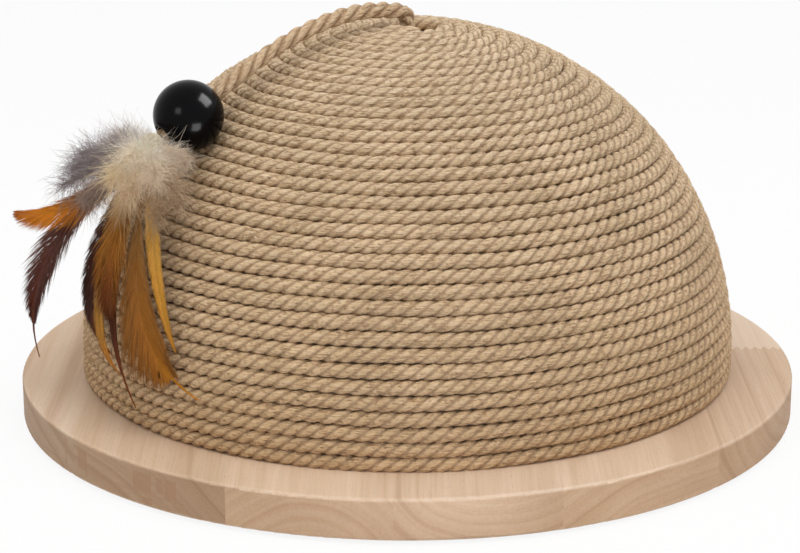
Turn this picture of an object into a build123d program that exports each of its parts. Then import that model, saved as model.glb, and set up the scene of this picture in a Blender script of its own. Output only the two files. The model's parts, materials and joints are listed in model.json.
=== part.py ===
from build123d import *

import os
from math import atan, cos, pi, radians, sin, sqrt, tan

import numpy as np

# Half scratching ball for a cat: a half ball wound with jute rope on a round wooden base,
# with a cord toy hanging from its crown. Millimetres. The origin is on the floor under the
# middle of the base, +Z is up and the front is -Y.

# Wooden base, a glued panel of parallel staves that run front to back
base_diameter = 350.0
base_thickness = 18.0
stave_width = 67.3
first_joint_x = -140.0
base_edge_round = 1.5

# Foam pads under the base
pad_diameter = 30.0
pad_thickness = 1.5
pad_inset = 27.0
pad_count = 4

# Moulded core of the half ball, an upright skirt with a half ball on it
core_radius = 141.2
core_wall = 3.0
skirt_height = 9.1
flange_width = 16.0
flange_thickness = 3.0
crown_boss_radius = 9.5
crown_boss_depth = 3.5

# Screws that hold the core to the base from below
screw_circle_radius = 124.0
screw_angles = (35.0, 145.0, 215.0, 325.0)
screw_shank_diameter = 4.0
screw_head_diameter = 8.0
screw_length = 35.0
screw_point_length = 3.0
screw_head_angle = 82.0
screw_clearance = 0.05
screw_head_clearance = 0.1
screw_boss_diameter = 12.0
screw_boss_height = 22.0
screw_boss_floor = 2.0
screw_rib_thickness = 3.0

# Rope winding, in two lengths that meet end to end behind the ball
rope_diameter = 5.8
rope_pitch = 6.316
rope_seat_gap = 0.1
rope_start_angle = 160.0
lower_turns = 14
crown_clear_radius = 10.0
crown_part_turn = 0.32
rope_joint_gap = 0.3
climb_start = 0.5
knots_per_turn = 4
crown_draw = 0.7
rope_dive_radius = 6.0
rope_hole_clearance = 0.3
least_rope_gap = 0.4

# Staples that hold the rope's ends
staple_wire = 1.0
staple_width = 6.0
staple_leg = 8.5
staple_set_back = 4.5
staple_sink = 0.1

# Toy cord, its stopper knot and its washer
cord_diameter = 7.0
cord_hole_diameter = 8.4
pivot_gap = 0.3
washer_diameter = 15.0
washer_thickness = 1.6
knot_gap = 0.3
knot_diameter = 15.0
knot_length = 13.0
knot_round = 3.5
cord_tail_length = 12.0
toy_heading = 56.0

# The toy cord's route over the ball: degrees down from the crown, and the height of the
# cord's middle above the rope winding
toy_route = [
    (0.0, 4.2),
    (5.4, 8.1),
    (13.9, 10.6),
    (24.4, 11.4),
    (36.2, 12.3),
    (48.1, 19.4),
]

# Bead on the cord
bead_diameter = 30.0
bead_bore_clearance = 0.3
bead_bore_round = 0.8
bead_end_gap = 0.1

# Bound root of the feathers
binding_diameter = 10.0
binding_gap = 0.3

# Feathers: the root's place on the binding, sideways and above the cord's line, then the belly
# and the tip, out from the ball's axis, sideways and up from the binding, then the width
feather_specs = {
    "feather_orange_side": ((-1.7, -0.9), (29.6, -18.4, -33.9), (47.6, -34.3, -30.1), 7.0),
    "feather_brown_hanging": ((-3.4, -0.6), (49.4, -40.0, -49.0), (37.5, -39.6, -96.6), 8.0),
    "feather_brown_inner": ((-3.3, -3.0), (18.7, -59.0, -72.7), (21.7, -1.2, -88.9), 5.0),
    "feather_gold_inner": ((-1.6, -3.0), (25.5, -31.4, -77.0), (21.8, 4.1, -95.0), 4.0),
    "feather_dark_long": ((-0.1, -2.6), (27.8, -13.2, -66.0), (21.4, 17.8, -106.2), 1.8),
    "feather_amber_short": ((0.4, -0.9), (28.0, 3.0, -45.0), (24.0, 4.0, -70.0), 8.0),
    "feather_orange_large": ((1.6, -2.6), (32.3, 16.4, -76.0), (12.3, 55.2, -93.9), 10.0),
    "feather_gold_slim": ((3.2, -1.8), (21.0, 31.6, -45.7), (14.9, 42.4, -76.3), 3.5),
}
feather_thickness = 0.8
root_gap = 0.3
quill_width = 1.4
quill_thickness = 1.2
tip_share = 0.5
feather_shape = ((0.0, 0.0), (0.12, 0.0), (0.35, 0.8), (0.6, 1.0), (0.82, 0.7), (1.0, 0.0))

# Down plumes around the binding: tips as above
plume_tips = (
    (38.1, -21.9, -10.6),
    (23.7, -24.3, 1.8),
    (4.0, -24.0, 8.0),
    (36.6, -6.2, -18.5),
    (25.7, 19.4, -17.0),
    (4.0, 30.0, -16.0),
    (-6.0, 21.0, -3.0),
)
plume_width = 7.0
plume_thickness = 3.0
plume_shape = ((0.0, 0.0), (0.3, 0.8), (0.65, 1.0), (1.0, 0.15))

# Derived sizes
base_radius = base_diameter / 2
base_bottom = pad_thickness
base_top = base_bottom + base_thickness
rope_radius = rope_diameter / 2
ball_centre_z = base_top + skirt_height
turn_radius = core_radius + rope_seat_gap + rope_radius
winding_radius = turn_radius + rope_radius
pad_circle_radius = base_radius - pad_inset
lowest_turn_z = base_top + rope_seat_gap + rope_radius
start_arc = turn_radius * pi / 2 + ball_centre_z - lowest_turn_z
last_whole_turn = int((start_arc - crown_clear_radius) / rope_pitch)
total_turns = last_whole_turn + crown_part_turn
cord_radius = cord_diameter / 2
bead_radius = bead_diameter / 2
binding_radius = binding_diameter / 2

os.makedirs("parts", exist_ok=True)
ball_centre = Vector(0, 0, ball_centre_z)
up = Vector(0, 0, 1)


def save(piece, label):
    """Label a finished piece and write its file."""
    piece.part.label = label
    export_step(piece.part, f"parts/{label}.step")


# Base staves
def joint_lines():
    """The x of each glued joint, with the disc's own edges at both ends."""
    lines = [-base_radius]
    x = first_joint_x
    while x < base_radius:
        lines.append(x)
        x += stave_width
    lines.append(base_radius)
    return lines


screw_spots = [
    (screw_circle_radius * cos(radians(a)), screw_circle_radius * sin(radians(a)))
    for a in screw_angles
]
stave_edges = joint_lines()
for number, (left, right) in enumerate(zip(stave_edges, stave_edges[1:]), start=1):
    with BuildPart() as stave:
        with BuildSketch(Plane.XY.offset(base_bottom)):
            Circle(base_radius)
            with Locations(((left + right) / 2, 0)):
                Rectangle(right - left, base_diameter, mode=Mode.INTERSECT)
        extrude(amount=base_thickness)
        fillet(stave.edges().filter_by(GeomType.CIRCLE), base_edge_round)
        for x, y in screw_spots:
            with Locations(Plane(origin=(x, y, base_bottom), z_dir=(0, 0, -1))):
                CounterSinkHole(
                    radius=screw_shank_diameter / 2 + screw_clearance,
                    counter_sink_radius=screw_head_diameter / 2,
                    counter_sink_angle=screw_head_angle,
                )
    save(stave, f"base_stave_{number}")

# Foam pads
with BuildPart() as pads:
    with BuildSketch():
        with PolarLocations(pad_circle_radius, pad_count):
            Circle(pad_diameter / 2)
    extrude(amount=pad_thickness)
save(pads, "base_pads")

# Screws, with their heads sunk in the underside of the base
screw_radius = screw_shank_diameter / 2
head_radius = screw_head_diameter / 2 - screw_head_clearance
head_depth = (head_radius - screw_radius) / tan(radians(screw_head_angle / 2))
with BuildPart() as screws:
    for x, y in screw_spots:
        with BuildSketch(Plane(origin=(x, y, base_bottom), x_dir=(1, 0, 0), z_dir=(0, -1, 0))):
            Polygon(
                (0, 0),
                (head_radius, 0),
                (screw_radius, head_depth),
                (screw_radius, screw_length - screw_point_length),
                (0, screw_length),
                align=None,
            )
        revolve(axis=Axis((x, y, 0), (0, 0, 1)))
save(screws, "core_screws")


# The rope's line: arc is measured along the profile from the pole down to the skirt
def profile_point(arc):
    """Distance from the axis and height of the rope's middle."""
    quarter = turn_radius * pi / 2
    if arc > quarter:
        return turn_radius, ball_centre_z - (arc - quarter)
    angle = arc / turn_radius
    return turn_radius * sin(angle), ball_centre_z + turn_radius * cos(angle)


def turns_climbed(turn):
    """Each turn lies level until climb_start, then climbs one pitch to the next. The part
    turn at the crown draws in by crown_draw."""
    whole = int(turn)
    part = turn - whole
    if whole == last_whole_turn:
        return whole + crown_draw / rope_pitch * (part / (total_turns - whole)) ** 2
    part = max(0.0, (part - climb_start) / (1 - climb_start))
    return whole + part * part * (3 - 2 * part)


def rope_point(turn):
    """Point of the rope's middle line, turn by turn from the base to the crown."""
    rho, z = profile_point(start_arc - rope_pitch * turns_climbed(turn))
    angle = radians(rope_start_angle) + 2 * pi * turn
    return Vector(rho * cos(angle), rho * sin(angle), z)


def rope_tangent(turn, step=0.0005):
    """Unit direction of the rope at that turn."""
    return (rope_point(turn + step) - rope_point(turn - step)).normalized()


def biarc(start, start_dir, end, end_dir):
    """Two tangent arcs from start to end."""
    chord = end - start
    both = start_dir + end_dir
    slack = 2 * (1 - start_dir.dot(end_dir))
    along = chord.dot(both)
    reach = (sqrt(along * along + slack * chord.dot(chord)) - along) / slack
    first = start + start_dir * reach
    last = end - end_dir * reach
    middle = (first + last) * 0.5
    TangentArc(start, middle, tangent=start_dir)
    TangentArc(middle, end, tangent=(last - first).normalized())


def rope_end(turn):
    """The turns taken by a straight end there, of one diameter and half a joint gap."""
    spot = rope_point(turn)
    reach = rope_diameter + rope_joint_gap / 2
    return atan(reach / sqrt(spot.X**2 + spot.Y**2)) / (2 * pi)


def rope_turns(first_turn, last_turn, last_way):
    """A straight end of one diameter, then biarcs of a quarter turn to the last turn."""
    stops = [first_turn + rope_end(first_turn)]
    first_knot = first_turn * knots_per_turn + 1
    stops += [k / knots_per_turn for k in range(first_knot, int(last_turn * knots_per_turn))]
    stops.append(last_turn)
    points = [rope_point(t) for t in stops]
    ways = [rope_tangent(t) for t in stops[:-1]] + [last_way]
    Line(points[0] - ways[0] * rope_diameter, points[0])
    for k in range(len(stops) - 1):
        biarc(points[k], ways[k], points[k + 1], ways[k + 1])


def dive(start, way):
    """The rope's end bends down through the crown and runs straight for one diameter."""
    foot = start + (way - up) * rope_dive_radius
    TangentArc(start, foot, tangent=way)
    Line(foot, foot - up * rope_diameter)


crown_end = rope_point(total_turns)
crown_way = rope_tangent(total_turns)
crown_way = Vector(crown_way.X, crown_way.Y, 0).normalized()
joint_turn = lower_turns - rope_end(lower_turns)
joint_way = rope_tangent(joint_turn)

with BuildPart() as rope_lower:
    with BuildLine() as lower_line:
        rope_turns(0, joint_turn, joint_way)
        Line(rope_point(joint_turn), rope_point(joint_turn) + joint_way * rope_diameter)
    with BuildSketch(Plane(origin=lower_line.line @ 0, z_dir=lower_line.line % 0)):
        Circle(rope_radius)
    sweep(path=lower_line.line)
save(rope_lower, "rope_winding_lower")

with BuildPart() as rope_upper:
    with BuildLine() as upper_line:
        rope_turns(lower_turns, total_turns, crown_way)
        dive(crown_end, crown_way)
    with BuildSketch(Plane(origin=upper_line.line @ 0, z_dir=upper_line.line % 0)):
        Circle(rope_radius)
    sweep(path=upper_line.line)
save(rope_upper, "rope_winding_upper")


def least_gap(line, step=1.5, near=4.0):
    """Least gap of a wound rope to itself, measured on points along it."""
    points = []
    lengths = []
    run = 0.0
    for edge in line.edges():
        count = max(2, int(edge.length / step))
        for k in range(count):
            p = edge @ (k / count)
            points.append((p.X, p.Y, p.Z))
            lengths.append(run + edge.length * k / count)
        run += edge.length
    points = np.array(points)
    lengths = np.array(lengths)
    least = 1e9
    for k in range(len(points)):
        far = lengths > lengths[k] + near * rope_diameter
        if far.any():
            gaps = np.linalg.norm(points[far] - points[k], axis=1)
            least = min(least, gaps.min())
    return least - rope_diameter


# Core of the half ball
with BuildPart() as core:
    with BuildSketch(Plane.XZ):
        with BuildLine():
            Line((core_radius, base_top), (core_radius, ball_centre_z))
            CenterArc((0, ball_centre_z), core_radius, 0, 90)
            Line((0, ball_centre_z + core_radius), (0, ball_centre_z + core_radius - core_wall))
            CenterArc((0, ball_centre_z), core_radius - core_wall, 90, -90)
            Polyline(
                (core_radius - core_wall, ball_centre_z),
                (core_radius - core_wall, base_top + flange_thickness),
                (core_radius - flange_width, base_top + flange_thickness),
                (core_radius - flange_width, base_top),
                (core_radius, base_top),
            )
        make_face()
    revolve(axis=Axis.Z)
    # Screw bosses, each with a rib to the wall
    with BuildSketch(Plane.XY.offset(base_top)):
        for angle in screw_angles:
            rib_length = core_radius - core_wall / 2 - screw_circle_radius
            rib_middle = screw_circle_radius + rib_length / 2
            rib_place = (rib_middle * cos(radians(angle)), rib_middle * sin(radians(angle)))
            with Locations(Location(rib_place, angle)):
                Rectangle(rib_length, screw_rib_thickness)
        with Locations(*screw_spots):
            Circle(screw_boss_diameter / 2)
    extrude(amount=screw_boss_height)
    # Flat boss under the crown for the washer
    inner_crown_z = ball_centre_z + core_radius - core_wall
    with BuildSketch(Plane.XY.offset(inner_crown_z - crown_boss_depth)):
        Circle(crown_boss_radius)
    extrude(amount=crown_boss_depth + core_wall / 2)
    for x, y in screw_spots:
        with Locations(Plane(origin=(x, y, base_top), z_dir=(0, 0, -1))):
            Hole(screw_radius + screw_clearance, depth=screw_boss_height - screw_boss_floor)
    with Locations((0, 0, ball_centre_z + core_radius)):
        Hole(cord_hole_diameter / 2)
    # Slot for the end of the rope
    with BuildLine() as slot_line:
        dive(crown_end, crown_way)
    with BuildSketch(Plane(origin=crown_end, z_dir=crown_way)):
        Circle(rope_radius + rope_hole_clearance)
    sweep(path=slot_line.line, mode=Mode.SUBTRACT)
save(core, "dome_core")


# Staples across the rope's ends
def staple(turn, distance):
    """A staple along the rope, at a distance past that turn. Its back is just under the
    rope's outside and its legs end in the core's wall."""
    turn_middle = rope_point(turn)
    place = turn + distance / (2 * pi * Vector(turn_middle.X, turn_middle.Y).length)
    middle = rope_point(place)
    way = rope_tangent(place)
    outward = Vector(middle.X, middle.Y, max(0.0, middle.Z - ball_centre_z)).normalized()
    top = middle + outward * (rope_radius - staple_sink)
    with BuildPart() as wire:
        with BuildSketch(Plane(origin=top, x_dir=way, z_dir=way.cross(outward))):
            Rectangle(staple_width, staple_leg, align=(Align.CENTER, Align.MAX))
            with Locations((0, -staple_wire)):
                Rectangle(
                    staple_width - 2 * staple_wire,
                    staple_leg,
                    align=(Align.CENTER, Align.MAX),
                    mode=Mode.SUBTRACT,
                )
        extrude(amount=staple_wire / 2, both=True)
    return wire.part


staple_set = [
    staple(0, staple_set_back),
    staple(lower_turns, -staple_set_back),
    staple(lower_turns, staple_set_back),
]
with BuildPart() as staples:
    add(staple_set)
save(staples, "rope_staples")

crown_boss_z = ball_centre_z + core_radius - core_wall - crown_boss_depth

# Washer under the crown
with BuildPart() as washer:
    with BuildSketch(Plane.XY.offset(crown_boss_z - washer_thickness)):
        Circle(washer_diameter / 2)
        Circle(cord_hole_diameter / 2, mode=Mode.SUBTRACT)
    extrude(amount=washer_thickness)
save(washer, "knot_washer")


# The toy cord's places
heading = Vector(-sin(radians(toy_heading)), -cos(radians(toy_heading)), 0)


def route_point(angle, height):
    """A point of the toy cord's route over the ball."""
    reach = winding_radius + height
    return ball_centre + heading * (reach * sin(radians(angle))) + up * (reach * cos(radians(angle)))


route = [route_point(angle, height) for angle, height in toy_route]
runs = [(b - a).length for a, b in zip(route, route[1:])]
turns = [radians((b - a).get_angle(c - b)) for a, b, c in zip(route, route[1:], route[2:])]
radii = [0.45 * min(runs[k], runs[k + 1]) / tan(turns[k] / 2) for k in range(len(turns))]
pivot = route[0]

with BuildPart() as toy_cord:
    with BuildLine() as cord_line:
        FilletPolyline(*route, radius=radii)
    with BuildSketch(Plane(origin=cord_line.line @ 0, z_dir=cord_line.line % 0)):
        Circle(cord_radius)
    sweep(path=cord_line.line)
    tube_volume = toy_cord.part.volume
    with Locations(pivot):
        Sphere(cord_radius)
save(toy_cord, "toy_cord")

# Upright end of the cord in the crown, with the knot that stops it under the washer
stub_top = pivot.Z - cord_radius - pivot_gap
knot_top = crown_boss_z - washer_thickness - knot_gap
knot_bottom = knot_top - knot_length
tail_end = knot_bottom - cord_tail_length
knot_radius = knot_diameter / 2
with BuildPart() as knot:
    with BuildSketch(Plane.XZ):
        Polygon(
            (0, tail_end),
            (cord_radius, tail_end),
            (cord_radius, knot_bottom),
            (knot_radius, knot_bottom),
            (knot_radius, knot_top),
            (cord_radius, knot_top),
            (cord_radius, stub_top),
            (0, stub_top),
            align=None,
        )
        fillet(vertices().sort_by(Axis.X)[-2:], knot_round)
    revolve(axis=Axis.Z)
save(knot, "toy_cord_knot")

# Bead, threaded on the cord's last straight
cord_end = route[-1]
cord_way = (route[-1] - route[-2]).normalized()
bead_centre = cord_end - cord_way * (bead_radius + bead_end_gap)
bore_radius = cord_radius + bead_bore_clearance
bead_plane = Plane(origin=bead_centre, x_dir=cord_way.cross(up), z_dir=cord_way.cross(up).cross(cord_way))
with BuildPart() as bead:
    with BuildSketch(bead_plane):
        Circle(bead_radius)
        with Locations((bore_radius, 0)):
            Rectangle(bead_diameter, bead_diameter, align=(Align.MIN, Align.CENTER), mode=Mode.INTERSECT)
        fillet(vertices(), bead_bore_round)
    revolve(axis=Axis(bead_centre, cord_way))
save(bead, "toy_bead")

# Bound root of the feathers
binding_centre = cord_end + cord_way * (binding_gap + binding_radius)
with BuildPart() as binding:
    with Locations(binding_centre):
        Sphere(binding_radius)
save(binding, "tuft_binding")


# Feathers and down
def toy_place(out, side, rise):
    """A place by its distances out, sideways and up from the middle of the binding."""
    return binding_centre + heading * out + up.cross(heading) * side + up * rise


def blade(root, belly, tip, shape, width, thickness):
    """A tapering blade of six-sided sections from its root past its belly to its tip."""
    face = (belly - ball_centre).normalized()
    with BuildPart() as made:
        for along, fullness in shape:
            here = root * (1 - along) ** 2 + belly * (2 * along * (1 - along)) + tip * along**2
            way = ((belly - root) * (1 - along) + (tip - belly) * along).normalized()
            half_width = (quill_width + (width - quill_width) * fullness) / 2
            half_thick = (quill_thickness + (thickness - quill_thickness) * fullness) / 2
            if along == 1:
                half_width = half_width * tip_share
                half_thick = half_thick * tip_share
            with BuildSketch(Plane(origin=here, x_dir=way.cross(face), z_dir=way)):
                Polygon(
                    (-half_width, 0),
                    (-half_width / 2, -half_thick),
                    (half_width / 2, -half_thick),
                    (half_width, 0),
                    (half_width / 2, half_thick),
                    (-half_width / 2, half_thick),
                )
        loft(ruled=True)
    return made


cord_side = up.cross(heading)
cord_above = cord_way.cross(cord_side)
if cord_above.Z < 0:
    cord_above = -cord_above
for label, ((side, above), belly, tip, width) in feather_specs.items():
    depth = sqrt((binding_radius + root_gap) ** 2 - side**2 - above**2)
    root = binding_centre + cord_side * side + cord_above * above + cord_way * depth
    feather = blade(root, toy_place(*belly), toy_place(*tip), feather_shape, width, feather_thickness)
    save(feather, label)

plumes = []
for tip in plume_tips:
    end = toy_place(*tip)
    root = binding_centre + (end - binding_centre).normalized() * (binding_radius + root_gap)
    half_way = (root + end) * 0.5
    plumes.append(blade(root, half_way, end, plume_shape, plume_width, plume_thickness).part)
with BuildPart() as down:
    add(plumes)
save(down, "down_plumes")

print("winding radius", round(winding_radius, 2), "crown height", round(ball_centre_z + winding_radius, 2))
rope_gaps = [round(float(least_gap(line)), 3) for line in (lower_line, upper_line)]
print("rope gaps to itself", rope_gaps, "over", least_rope_gap, min(rope_gaps) > least_rope_gap)
print("cord radii", [round(r, 1) for r in radii], "runs", [round(r, 1) for r in runs])
cord_length = sum(edge.length for edge in cord_line.edges())
print("cord length", round(cord_length, 1))
print("cord volume ratio", round(tube_volume / (pi * cord_radius**2 * cord_length), 4))
print("bead to winding", round((bead_centre - ball_centre).length - winding_radius - bead_radius, 3))
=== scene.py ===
import json
from math import cos, pi, radians, sin, sqrt, tau

import bpy
import numpy as np
from bpy.props import FloatProperty, FloatVectorProperty, IntProperty, PointerProperty
from mathutils import Matrix, Vector


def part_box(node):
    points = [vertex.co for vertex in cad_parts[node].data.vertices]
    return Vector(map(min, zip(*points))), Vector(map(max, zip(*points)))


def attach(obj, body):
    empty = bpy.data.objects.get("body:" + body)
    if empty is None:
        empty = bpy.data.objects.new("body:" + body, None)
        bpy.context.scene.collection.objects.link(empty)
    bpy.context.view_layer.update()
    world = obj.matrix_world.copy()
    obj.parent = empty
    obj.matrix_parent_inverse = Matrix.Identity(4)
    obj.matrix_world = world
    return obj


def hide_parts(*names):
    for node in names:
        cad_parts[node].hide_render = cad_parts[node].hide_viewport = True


bl_info = {
    "name": "Half Cat Scratching Ball",
    "version": (1, 0, 0),
    "blender": (4, 5, 0),
    "location": "3D View > Sidebar > Scratching Ball",
    "description": "Dresses a rope-wound half ball on a wooden base, with its feather toy",
    "category": "Object",
}

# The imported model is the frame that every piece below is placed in
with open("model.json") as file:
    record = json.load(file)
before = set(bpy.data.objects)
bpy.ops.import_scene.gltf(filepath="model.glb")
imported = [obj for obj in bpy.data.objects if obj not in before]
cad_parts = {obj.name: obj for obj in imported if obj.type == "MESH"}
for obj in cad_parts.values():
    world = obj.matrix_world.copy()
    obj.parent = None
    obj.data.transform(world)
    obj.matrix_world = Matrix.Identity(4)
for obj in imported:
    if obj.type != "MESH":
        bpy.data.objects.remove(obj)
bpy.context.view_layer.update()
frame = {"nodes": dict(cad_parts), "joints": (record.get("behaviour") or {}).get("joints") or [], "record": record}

MM = 0.001

# The winding's own sizes, in millimetres, as the part's source has them
BASE_TOP = 19.5
BALL_CENTRE_Z = 28.6
CORE_RADIUS = 141.2
WINDING_THICK = 5.8
SEAT_GAP = 0.1
PITCH = 6.316
START_ANGLE = 160.0
LOWER_TURNS = 14
CROWN_CLEAR = 10.0
CROWN_PART_TURN = 0.32
CROWN_DRAW = 0.7
DIVE_RADIUS = 6.0
TURN_RADIUS = CORE_RADIUS + SEAT_GAP + WINDING_THICK / 2
WINDING_RADIUS = TURN_RADIUS + WINDING_THICK / 2
START_ARC = TURN_RADIUS * pi / 2 + BALL_CENTRE_Z - (BASE_TOP + SEAT_GAP + WINDING_THICK / 2)
LAST_WHOLE_TURN = int((START_ARC - CROWN_CLEAR) / PITCH)
TOTAL_TURNS = LAST_WHOLE_TURN + CROWN_PART_TURN

# Between two rings of the rope's skin and the height where its browner foot has faded, both in
# millimetres, then half the gap between the winding's two lengths, in turns
RING_STEP = 2.1
FADE_HEIGHT = 180.0
JOINT_GAP = 0.0004

# The toy cord's route in metres, the same points as in the part's source
TOY_HEADING = radians(56.0)
TOY_ROUTE = [(0.0, 4.2), (5.4, 8.1), (13.9, 10.6), (24.4, 11.4), (36.2, 12.3), (48.1, 19.4)]
OUT = Vector((-sin(TOY_HEADING), -cos(TOY_HEADING), 0))
UP = Vector((0, 0, 1))
SIDE = UP.cross(OUT)
BALL_CENTRE = Vector((0, 0, BALL_CENTRE_Z * MM))


def route_point(angle, height):
    """A point of the toy cord's route: degrees down from the crown, millimetres above the rope."""
    reach = (WINDING_RADIUS + height) * MM
    return BALL_CENTRE + OUT * (reach * sin(radians(angle))) + UP * (reach * cos(radians(angle)))


ROUTE = [route_point(angle, height) for angle, height in TOY_ROUTE]
CORD_WAY = (ROUTE[-1] - ROUTE[-2]).normalized()
CORD_ABOVE = SIDE.cross(CORD_WAY) if SIDE.cross(CORD_WAY).z > 0 else CORD_WAY.cross(SIDE)
BEAD_CENTRE = ROUTE[-1] - CORD_WAY * (15.1 * MM)
TUFT = ROUTE[-1] + CORD_WAY * (5.3 * MM)


def toy_place(out, side, rise):
    """A place by its millimetres out, sideways and up from the middle of the binding."""
    return TUFT + (OUT * out + SIDE * side + UP * rise) * MM


# The photograph's frame and the place of the optical axis in it, in pixels
PHOTO_WIDTH = 800
PHOTO_HEIGHT = 553
PHOTO_FOCAL = 2453.0
AXIS_X = 407.3
AXIS_Y = 289.8
CAMERA_TILT = 16.98
CAMERA_PLACE = (0, -1.0696, 0.3784)

# Share of the floor that shows as plain white, the rest keeps the shadow
FLOOR_WHITE = 0.88

# Small cards that show only in shiny surfaces: way from the bead, distance, size and watts
CATCHLIGHTS = [
    ("card_right", (0.739, 0.0, 0.673), 1.0, 0.55, 26.0),
    ("card_low", (0.445, -0.769, -0.46), 0.24, 0.11, 0.6),
    ("card_left", (-0.475, -0.778, 0.411), 1.0, 0.30, 2.4),
]


# Colours


def linear(hex_colour):
    """A linear colour with full alpha from an sRGB hex value."""
    parts = [int(hex_colour[k : k + 2], 16) / 255 for k in (1, 3, 5)]
    return [c / 12.92 if c <= 0.04045 else ((c + 0.055) / 1.055) ** 2.4 for c in parts] + [1.0]


def colour_prop(name, description, hex_colour):
    """A colour that a user can change, from its sRGB hex value."""
    words = {"name": name, "description": description, "subtype": "COLOR"}
    return FloatVectorProperty(**words, size=4, min=0, max=1, default=linear(hex_colour))


def length_prop(name, description, default):
    """A length that a user can change, in metres."""
    return FloatProperty(name=name, description=description, subtype="DISTANCE", default=default)


class ScratchRopeSettings(bpy.types.PropertyGroup):
    """Sizes and colours of the jute rope winding"""

    strand_radius: length_prop("Strand Radius", "Radius of one strand of the rope", 0.00228)
    strand_offset: length_prop("Strand Offset", "From the rope's middle to a strand's", 0.00112)
    lay_length: length_prop("Lay Length", "Length in which a strand turns once", 0.0187)
    waver: length_prop("Waver", "How far a turn strays from its place", 0.00026)
    fibres: IntProperty(name="Loose Fibres", description="Fibres that stand out", default=5200)
    light: colour_prop("Light", "Lit side of the jute", "#E8D3B6")
    middle: colour_prop("Middle", "Most of the jute", "#D3B793")
    # Dark is also the colour of the painted shade in the grooves between the strands
    dark: colour_prop("Dark", "Retted fibres and the grooves", "#8E6F50")


class ScratchToySettings(bpy.types.PropertyGroup):
    """Sizes and colours of the cord, bead and tuft"""

    cord_strand: length_prop("Cord Strand", "Radius of one strand of the toy cord", 0.00195)
    cord_offset: length_prop("Cord Offset", "From the cord's middle to a strand's", 0.00158)
    cord_lay: length_prop("Cord Lay", "Length in which a strand of the cord turns once", 0.023)
    bead_radius: length_prop("Bead Radius", "Radius of the bead", 0.015)
    cord_light: colour_prop("Cord Light", "Light fibres of the cord", "#E2CBAC")
    cord_dark: colour_prop("Cord Dark", "Dark fibres of the cord", "#8E6A46")
    bead: colour_prop("Bead", "Lacquer of the bead", "#050507")


class ScratchBaseSettings(bpy.types.PropertyGroup):
    """Colours of the wooden base"""

    pale: colour_prop("Pale", "Sapwood of the staves", "#E2CDB8")
    warm: colour_prop("Warm", "Most of the wood", "#D6BCA2")
    grain: colour_prop("Grain", "Darker growth bands", "#BC9D80")
    pore: colour_prop("Pore", "Open pores of the wood", "#94745A")


class ScratchStageSettings(bpy.types.PropertyGroup):
    """Light of the studio"""

    key: FloatProperty(name="Key", description="Watts of the softbox above the camera", default=6.0)
    top: FloatProperty(name="Top", description="Watts of the softbox overhead", default=12.0)
    fill: FloatProperty(name="Fill", description="Watts of the fill at the front left", default=2.0)
    sky: FloatProperty(name="Sky", description="Strength of the even light", default=0.62)


# Small helpers


def node_adder(tree):
    """Empties a node tree and gives the one function that adds a node to it."""
    tree.nodes.clear()

    def node(kind, inputs=(), out=0, stops=(), **settings):
        """Adds a node with its inputs, in order or by key and each a value or a socket, the stops
        of a ramp and its own settings. Gives back one output, or all of them for out=None."""
        made = tree.nodes.new("ShaderNode" + kind)
        for name, value in settings.items():
            setattr(made, name, value)
        pairs = inputs.items() if isinstance(inputs, dict) else enumerate(inputs)
        for key, value in pairs:
            if isinstance(value, bpy.types.NodeSocket):
                tree.links.new(value, made.inputs[key])
            else:
                made.inputs[key].default_value = value
        for _ in stops[2:]:
            made.color_ramp.elements.new(0.5)
        for k, (place, colour) in enumerate(stops):
            made.color_ramp.elements[k].position = place
            made.color_ramp.elements[k].color = colour
        return made.outputs if out is None else made.outputs[out]

    return node


def start_material(name):
    """A new empty material and the function that adds a node to it."""
    material = bpy.data.materials.new(name)
    material.use_nodes = True
    return material, node_adder(material.node_tree)


def close_surface(node, look, relief=None, strength=0.0, distance=0.0):
    """Ends a material with its relief, its surface and its output."""
    if relief is not None:
        look["Normal"] = node("Bump", {"Height": relief, "Strength": strength, "Distance": distance})
    node("OutputMaterial", {"Surface": node("BsdfPrincipled", look)}, None)


def grey(value):
    """A linear grey."""
    return (value, value, value, 1.0)


def deselect():
    """Nothing is selected, so that an operator acts only on what comes next."""
    bpy.ops.object.select_all(action="DESELECT")


def only(piece):
    """One piece is selected and active."""
    deselect()
    piece.select_set(True)
    bpy.context.view_layer.objects.active = piece


def mesh_piece(name, points, faces):
    """A new mesh object at the origin from rows of points and rows of corners."""
    mesh = bpy.data.meshes.new(name)
    mesh.from_pydata(points, [], faces)
    mesh.update()
    piece = bpy.data.objects.new(name, mesh)
    bpy.context.scene.collection.objects.link(piece)
    mesh.shade_smooth()
    return piece


def add_attribute(piece, name, kind, values):
    """A value for each vertex that the materials read."""
    field = {"FLOAT": "value", "FLOAT_VECTOR": "vector", "FLOAT_COLOR": "color"}[kind]
    attribute = piece.data.attributes.new(name, kind, "POINT")
    attribute.data.foreach_set(field, np.asarray(values, np.float32).ravel())


def settle(piece, material, body, slot, *nodes):
    """Gives a finished piece its material and its body, and hides the nodes that it stands for."""
    piece.data.materials.clear()
    piece.data.materials.append(material)
    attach(piece, body)
    if nodes:
        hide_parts(*nodes)


# The rope's path and section


def profile_point(arc):
    """Distance from the axis and height of the rope's middle, in millimetres."""
    quarter = TURN_RADIUS * pi / 2
    if arc > quarter:
        return TURN_RADIUS, BALL_CENTRE_Z - (arc - quarter)
    return TURN_RADIUS * sin(arc / TURN_RADIUS), BALL_CENTRE_Z + TURN_RADIUS * cos(arc / TURN_RADIUS)


def turns_climbed(turn):
    """Each turn lies level for its first half and climbs one pitch in its second."""
    whole = int(turn)
    part = turn - whole
    if whole == LAST_WHOLE_TURN:
        return whole + CROWN_DRAW / PITCH * (part / CROWN_PART_TURN) ** 2
    part = max(0.0, (part - 0.5) / 0.5)
    return whole + part * part * (3 - 2 * part)


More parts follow.
